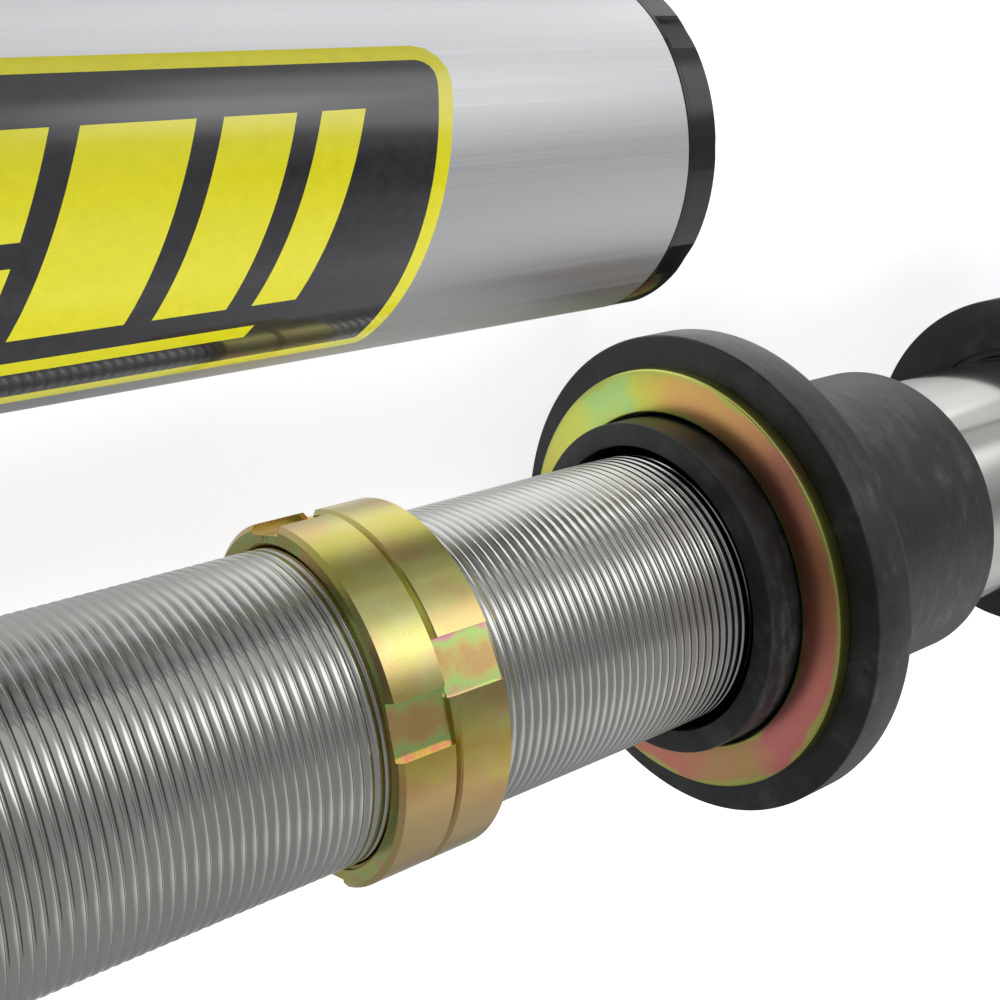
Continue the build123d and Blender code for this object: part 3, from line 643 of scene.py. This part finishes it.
def rounded(points, radii):
    """A closed outline with each corner turned into an arc of its own radius."""
    outline = []
    count = len(points)
    for i, (point, radius) in enumerate(zip(points, radii)):
        corner = Vector(point)
        before = Vector(points[i - 1]) - corner
        after = Vector(points[(i + 1) % count]) - corner
        angle = before.angle(after)
        if radius <= 0 or math.pi - angle < STRAIGHT:
            outline.append(corner)
            continue
        longest = CORNER_SHARE * min(before.length, after.length)
        reach = min(radius / math.tan(angle / 2), longest)
        radius = reach * math.tan(angle / 2)
        bisector = (before.normalized() + after.normalized()).normalized()
        centre = corner + bisector * radius / math.sin(angle / 2)
        start = corner + before.normalized() * reach - centre
        end = corner + after.normalized() * reach - centre
        turn = start.angle_signed(end)
        for step in range(ARC_STEPS + 1):
            angle = -turn * step / ARC_STEPS
            x = start.x * math.cos(angle) - start.y * math.sin(angle)
            r = start.x * math.sin(angle) + start.y * math.cos(angle)
            outline.append(centre + Vector((x, r)))
    return [(p.x, p.y) for p in outline]


def lathe(outline, centre):
    """Vertices and faces of a closed outline turned about a line along X through centre."""
    vertices, faces = [], []
    count = len(outline)
    for k in range(SEGMENTS):
        angle = 2 * math.pi * k / SEGMENTS
        for x, r in outline:
            vertices.append((x, centre[0] + r * math.cos(angle), centre[1] + r * math.sin(angle)))
    for k in range(SEGMENTS):
        near = k * count
        far = ((k + 1) % SEGMENTS) * count
        for i in range(count):
            j = (i + 1) % count
            faces.append((near + i, near + j, far + j, far + i))
    return vertices, faces


def box_x(node):
    """Where a node starts and ends along X, and its outer radius from its height."""
    low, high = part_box(node)
    return low.x, high.x, (high.z - low.z) / 2


def thread_radius(part, crest):
    """The radius at a share of one pitch: a broad rounded crest and a narrow root."""
    part = part % 1.0
    half = part if part <= 0.5 else 1.0 - part
    for (a, deep_a), (b, deep_b) in zip(THREAD_PROFILE, THREAD_PROFILE[1:]):
        if half <= b:
            share = (half - a) / (b - a)
            return crest - THREAD_DEPTH * (deep_a + (deep_b - deep_a) * share)
    return crest - THREAD_DEPTH


def body_tube(material):
    """The pressure tube with its thread cut as a true helix that fades out at both ends."""
    start, end, crest = box_x("body_tube")
    half = [share for share, _ in THREAD_PROFILE]
    stations = half + [1.0 - share for share in half[-2:0:-1]]
    turns = int((THREAD_END - start) / PITCH) + 2
    per_turn = len(stations)
    rows = turns * per_turn + 1
    vertices, faces = [], []

    def fade(x):
        """How much of the thread's depth there is at x: none at its ends, all further in."""
        inner = min((x - start) / THREAD_FADE, (THREAD_END - x) / THREAD_FADE, 1.0)
        inner = max(inner, 0.0)
        return inner * inner * (3 - 2 * inner)

    for k in range(THREAD_SEGMENTS + 1):
        turn = k / THREAD_SEGMENTS
        angle = 2 * math.pi * turn
        for row in range(rows):
            part = stations[row % per_turn]
            x = start + PITCH * (row // per_turn + part - 1 + turn)
            x = min(max(x, start), THREAD_END)
            r = crest - (crest - thread_radius(part, crest)) * fade(x)
            vertices.append((x, r * math.cos(angle), r * math.sin(angle)))
    for k in range(THREAD_SEGMENTS):
        for row in range(rows - 1):
            a = k * rows + row
            b = a + rows
            faces.append((a, b, b + 1, a + 1))
    base = len(vertices)
    rest = [
        (THREAD_END, crest),
        (end - BODY_CHAMFER, crest),
        (end, crest - BODY_CHAMFER),
        (end, BODY_BORE),
        (start, BODY_BORE),
        (start, crest),
    ]
    for k in range(THREAD_SEGMENTS + 1):
        angle = 2 * math.pi * k / THREAD_SEGMENTS
        for x, r in rest:
            vertices.append((x, r * math.cos(angle), r * math.sin(angle)))
    for k in range(THREAD_SEGMENTS):
        for row in range(len(rest) - 1):
            a = base + k * len(rest) + row
            b = a + len(rest)
            faces.append((a, b, b + 1, a + 1))
    piece = new_piece("threaded_body", vertices, faces, material, "root", ("body_tube",))
    weld(piece)


def weld(piece):
    """Joins vertices that lie on each other and drops the faces that this closes up."""
    work = bmesh.new()
    work.from_mesh(piece.data)
    bmesh.ops.remove_doubles(work, verts=work.verts, dist=WELD_DISTANCE)
    bmesh.ops.dissolve_degenerate(work, edges=work.edges, dist=WELD_DISTANCE)
    bmesh.ops.recalc_face_normals(work, faces=work.faces)
    work.to_mesh(piece.data)
    work.free()
    piece.data.set_sharp_from_angle(angle=math.radians(SHARP_ANGLE))


def soften(piece):
    """Rounds the sharp edges of a piece, so that they catch the light."""
    bevel = piece.modifiers.new("edges", "BEVEL")
    bevel.width = EDGE_WIDTH
    bevel.segments = EDGE_STEPS
    bevel.limit_method = "ANGLE"
    bevel.angle_limit = math.radians(EDGE_ANGLE)
    bevel.harden_normals = True


def ring_columns(first_angle):
    """The columns round a stop ring: a notch's middle, an angle from it, and floor, wall or rim."""
    half = NOTCH_WIDTH / 2
    edge = math.atan2(half, NOTCH_FLOOR)
    columns = []
    for notch in range(NOTCH_COUNT):
        middle = math.radians(first_angle + notch * 360 / NOTCH_COUNT)
        for step in range(-NOTCH_STEPS, NOTCH_STEPS + 1):
            columns.append((middle, edge * step / NOTCH_STEPS, "floor"))
        columns.append((middle, edge, "wall"))
        gap = 2 * math.pi / NOTCH_COUNT - 2 * edge
        count = SEGMENTS // NOTCH_COUNT
        for step in range(1, count):
            columns.append((middle, edge + gap * step / count, "rim"))
        columns.append((middle + 2 * math.pi / NOTCH_COUNT, -edge, "wall"))
    return columns


def stop_ring(node, material):
    """A stop ring with flat spanner notches cut square across it."""
    start, end, _ = box_x(node)
    run, fall = RING_CHAMFER
    half = NOTCH_WIDTH / 2
    outline = [
        (start, SLIDING_BORE + RING_MOUTH),
        (start, NOTCH_FLOOR),
        (start, RING_RADIUS - fall),
        (start + run, RING_RADIUS),
        (end - run, RING_RADIUS),
        (end, RING_RADIUS - fall),
        (end, NOTCH_FLOOR),
        (end, SLIDING_BORE + RING_MOUTH),
        (end - RING_MOUTH, SLIDING_BORE),
        (start + RING_MOUTH, SLIDING_BORE),
    ]
    vertices, faces = [], []
    columns = ring_columns(RING_ANGLES[node])
    for middle, offset, kind in columns:
        for x, r in outline:
            angle = offset
            if kind == "floor":
                r = min(r, NOTCH_FLOOR / math.cos(offset))
            if kind == "wall" and r > math.hypot(half, NOTCH_FLOOR):
                angle = math.copysign(math.asin(half / r), offset)
            vertices.append((x, r * math.cos(middle + angle), r * math.sin(middle + angle)))
    count = len(outline)
    for k in range(len(columns)):
        near, far = k * count, ((k + 1) % len(columns)) * count
        for i in range(count):
            j = (i + 1) % count
            faces.append((near + i, near + j, far + j, far + i))
    piece = new_piece(node + "_turned", vertices, faces, material, "stop_rings", (node,))
    weld(piece)
    soften(piece)


def slider(material):
    """The dual rate slider: collar, flange and hub, with a relieved bore."""
    start, end, outer = box_x("slider")
    flange = start + COLLAR_LENGTH
    hub = flange + FLANGE_THICKNESS
    guide = start + MOUTH_DEPTH
    corners = [
        (start, MOUTH_RADIUS, MOUTH_EDGE),
        (start, COLLAR_RADIUS, FRONT_EDGE),
        (flange, COLLAR_RADIUS, INNER_CORNER),
        (flange, outer, FRONT_EDGE),
        (hub, outer, BACK_EDGE),
        (hub, HUB_RADIUS, INNER_CORNER),
        (end, HUB_RADIUS, HUB_EDGE),
        (end, SLIDING_BORE, HUB_EDGE),
        (end - LAND_LENGTH, SLIDING_BORE, 0),
        (end - LAND_LENGTH, MOUTH_RADIUS, 0),
        (guide + LAND_LENGTH, MOUTH_RADIUS, 0),
        (guide + LAND_LENGTH, SLIDING_BORE, 0),
        (guide, SLIDING_BORE, 0),
        (guide, MOUTH_RADIUS, 0),
    ]
    turned_piece("slider_turned", corners, material, "slider", "slider")


def lower_slider(material):
    """The smaller slider on the smooth end of the tube."""
    start, end, outer = box_x("lower_slider")
    hub = start + LOWER_FLANGE_THICKNESS
    corners = [
        (start, MOUTH_RADIUS, MOUTH_EDGE),
        (start, outer, FRONT_EDGE),
        (hub, outer, BACK_EDGE),
        (hub, LOWER_HUB_RADIUS, INNER_CORNER),
        (end, LOWER_HUB_RADIUS, HUB_EDGE),
        (end, SLIDING_BORE, INNER_CORNER),
        (start + LOWER_MOUTH_DEPTH, SLIDING_BORE, 0),
        (start + LOWER_MOUTH_DEPTH, MOUTH_RADIUS, 0),
    ]
    turned_piece("lower_slider_turned", corners, material, "lower_slider", "lower_slider")


def washer(material):
    """The plated washer that lies on the slider's flange."""
    start, end, outer = box_x("slider_washer")
    corners = [
        (start, WASHER_BORE, WASHER_EDGE),
        (start, outer, WASHER_EDGE),
        (end, outer, WASHER_EDGE),
        (end, WASHER_BORE, WASHER_EDGE),
    ]
    turned_piece("washer_turned", corners, material, "slider", "slider_washer")


def reservoir(material):
    """The reservoir tube, round and smooth."""
    start, end, outer = box_x("reservoir_tube")
    corners = [
        (start, RESERVOIR_BORE, 0),
        (start, outer, TUBE_EDGE),
        (end, outer, TUBE_EDGE),
        (end, RESERVOIR_BORE, 0),
    ]
    centre = axis_of("reservoir_tube")
    turned_piece("reservoir_turned", corners, material, "root", "reservoir_tube", centre)


def turned_piece(name, corners, material, body, node, centre=(0.0, 0.0)):
    """Turns an outline of (x, radius, rounding) corners about X, in the place of a node."""
    outline = rounded([(x, r) for x, r, _ in corners], [edge for _, _, edge in corners])
    vertices, faces = lathe(outline, centre)
    piece = new_piece(name, vertices, faces, material, body, (node,))
    weld(piece)


def axis_of(node):
    """The middle of a round node, as (y, z)."""
    low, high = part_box(node)
    return (low.y + high.y) / 2, (low.z + high.z) / 2


def label_ends(share):
    """Where the label starts and ends along X, at a share of its height from its upper edge."""
    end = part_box("reservoir_tube")[1].x - LABEL_END_GAP
    slant = LABEL_SLANT * share
    return end - LABEL_LENGTH + slant, end - slant


def label_outline(radius):
    """The label laid flat, as (x, arc length) points with rounded corners."""
    height = math.radians(LABEL_HIGH_ANGLE - LABEL_LOW_ANGLE) * radius
    (low_start, low_end), (high_start, high_end) = label_ends(0), label_ends(1)
    corners = [(low_start, 0.0), (low_end, 0.0), (high_end, height), (high_start, height)]
    return rounded(corners, [LABEL_CORNER, LABEL_CORNER, LABEL_CORNER / 2, LABEL_CORNER / 2]), height


def edge_distance(point, outline):
    """How far a point is from an outline."""
    nearest = math.inf
    for i, b in enumerate(outline):
        a = outline[i - 1]
        run, rise = b[0] - a[0], b[1] - a[1]
        square = run * run + rise * rise
        share = ((point[0] - a[0]) * run + (point[1] - a[1]) * rise) / square if square else 0.0
        share = min(max(share, 0.0), 1.0)
        nearest = min(nearest, math.hypot(point[0] - a[0] - share * run, point[1] - a[1] - share * rise))
    return nearest


def row_ends(outline, v):
    """The first and last x of an outline at an arc length."""
    crossings = []
    for i, b in enumerate(outline):
        a = outline[i - 1]
        if (a[1] - v) * (b[1] - v) <= 0 and a[1] != b[1]:
            crossings.append(a[0] + (b[0] - a[0]) * (v - a[1]) / (b[1] - a[1]))
    return min(crossings), max(crossings)


def label(material):
    """The label: a thin sheet bent round the reservoir, with its own distances in its maps."""
    radius = box_x("reservoir_tube")[2]
    centre = axis_of("reservoir_tube")
    outline, height = label_outline(radius)
    lifted = radius + LABEL_LIFT
    vertices, faces, flat = [], [], []
    shares = [0.5 - 0.5 * math.cos(math.pi * row / LABEL_ROWS) for row in range(LABEL_ROWS + 1)]
    rows = sorted({min(max(share, LABEL_INSET), 1 - LABEL_INSET) for share in shares})
    for share in rows:
        v = height * share
        first, last = row_ends(outline, v)
        angle = math.radians(LABEL_LOW_ANGLE) + v / radius
        for column in range(LABEL_COLUMNS + 1):
            x = first + (last - first) * column / LABEL_COLUMNS
            vertices.append((x, centre[0] + lifted * math.cos(angle), centre[1] + lifted * math.sin(angle)))
            flat.append((x, v))
    for row in range(len(rows) - 1):
        for column in range(LABEL_COLUMNS):
            a = row * (LABEL_COLUMNS + 1) + column
            b = a + LABEL_COLUMNS + 1
            faces.append((a, b, b + 1, a + 1))
    piece = new_piece("label", vertices, faces, material, "root")
    piece.visible_glossy = False
    place = piece.data.uv_layers.new(name="place")
    depth = piece.data.uv_layers.new(name="depth")
    end = label_ends(0)[1]
    inward = [edge_distance(point, outline) for point in flat]
    for loop in piece.data.loops:
        x, v = flat[loop.vertex_index]
        place.data[loop.index].uv = ((end - x) / LABEL_UNIT, v / LABEL_UNIT)
        depth.data[loop.index].uv = (inward[loop.vertex_index] / LABEL_UNIT, 0.0)


def stage():
    """A plain pale floor: it shows white and keeps the soft shadows; to metal it shows painted pools of
    light and painted shade.
    """
    floor_z = min(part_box(name)[0].z for name in frame["nodes"])
    bpy.ops.mesh.primitive_plane_add(size=FLOOR_SIZE, location=(FLOOR_MIDDLE, 0, floor_z))
    floor = bpy.context.object
    floor.name = "floor"
    s = Shader("floor_paper", (FLOOR_GREY, FLOOR_GREY, FLOOR_GREY), roughness=0.9)
    s.bump(s.noise(600.0, detail=3.0), strength=0.05, distance=0.10 * MM)
    path = s.node("ShaderNodeLightPath")
    axes = s.axes(s.node("ShaderNodeNewGeometry").outputs["Position"])
    # What metal sees on the floor: a low level with painted pools of light and painted shade under and
    # beside the body
    painted_reflection = s.patches(axes["X"], axes["Y"], FLOOR_LEVEL, FLOOR_LIGHT_POOLS)
    seen = s.node("ShaderNodeMix")
    s.link(path.outputs["Is Camera Ray"], seen.inputs["Factor"])
    s.link(painted_reflection, seen.inputs["A"])
    seen.inputs["B"].default_value = FLOOR_SHOWN
    glow = s.node("ShaderNodeEmission")
    s.link(seen.outputs["Result"], glow.inputs["Strength"])
    blend = s.node("ShaderNodeMixShader")
    camera_share = s.math("MULTIPLY", path.outputs["Is Camera Ray"], CAMERA_SHARE)
    glossy_share = s.math("MULTIPLY", path.outputs["Is Glossy Ray"], GLOSSY_SHARE)
    s.link(s.math("MAXIMUM", camera_share, glossy_share), blend.inputs["Fac"])
    s.link(s.surface.outputs["BSDF"], blend.inputs[1])
    s.link(glow.outputs["Emission"], blend.inputs[2])
    s.link(blend.outputs["Shader"], s.tree.nodes["Material Output"].inputs["Surface"])
    floor.data.materials.append(s.material)


def world():
    """White behind everything, and a soft grey room with a few lighter and darker patches."""
    made = bpy.data.worlds.new("studio")
    bpy.context.scene.world = made
    made.use_nodes = True
    w = Nodes(made.node_tree)
    axes = w.axes(w.node("ShaderNodeTexCoord").outputs["Generated"])
    azimuth = w.math("DEGREES", w.math("ARCTAN2", axes["Y"], axes["X"]))
    elevation = w.math("DEGREES", w.math("ARCSINE", axes["Z"]))
    total = w.patches(azimuth, elevation, ROOM_LEVEL, ROOM_PATCHES)
    path = w.node("ShaderNodeLightPath")
    level = w.node("ShaderNodeMix")
    w.link(path.outputs["Is Camera Ray"], level.inputs["Factor"])
    w.link(total, level.inputs["A"])
    level.inputs["B"].default_value = 1.0
    background = made.node_tree.nodes["Background"]
    background.inputs["Color"].default_value = (1, 1, 1, 1)
    w.link(level.outputs["Result"], background.inputs["Strength"])


def top_light():
    """One broad soft lamp overhead, which metal doesn't show."""
    light = bpy.data.lights.new("top_box", "AREA")
    light.shape = "RECTANGLE"
    light.size = light.size_y = LAMP_SIZE
    light.energy = LAMP_POWER
    lamp = bpy.data.objects.new("top_box", light)
    lamp.location = LAMP_PLACE
    beam = Vector(LAMP_TARGET) - Vector(LAMP_PLACE)
    lamp.rotation_euler = beam.to_track_quat("-Z", "Y").to_euler()
    lamp.visible_glossy = False
    bpy.context.scene.collection.objects.link(lamp)


def camera():
    """The photograph's view: close to the shock, rolled so that the reservoir is above the body."""
    data = bpy.data.cameras.new("camera")
    data.sensor_width = SENSOR_MM
    data.lens = LENS_MM
    data.clip_start = NEAREST
    made = bpy.data.objects.new("camera", data)
    right = Vector(CAMERA_RIGHT).normalized()
    back = right.cross(Vector(CAMERA_UP)).normalized()
    up = back.cross(right)
    turn = Matrix((right, up, back)).transposed().to_4x4()
    made.matrix_world = Matrix.Translation(CAMERA_PLACE) @ turn
    bpy.context.scene.collection.objects.link(made)
    bpy.context.scene.camera = made


materials = make_materials()
dress_nodes(materials)
body_tube(materials["body_steel"])
stop_ring("stop_ring_upper", materials["yellow_zinc"])
stop_ring("stop_ring_lower", materials["yellow_zinc"])
slider(materials["slider_plastic"])
lower_slider(materials["slider_plastic"])
washer(materials["washer_zinc"])
reservoir(materials["clear_anodised"])
label(materials["label_vinyl"])
stage()
world()
top_light()
camera()

bpy.context.scene.view_settings.view_transform = "Standard"
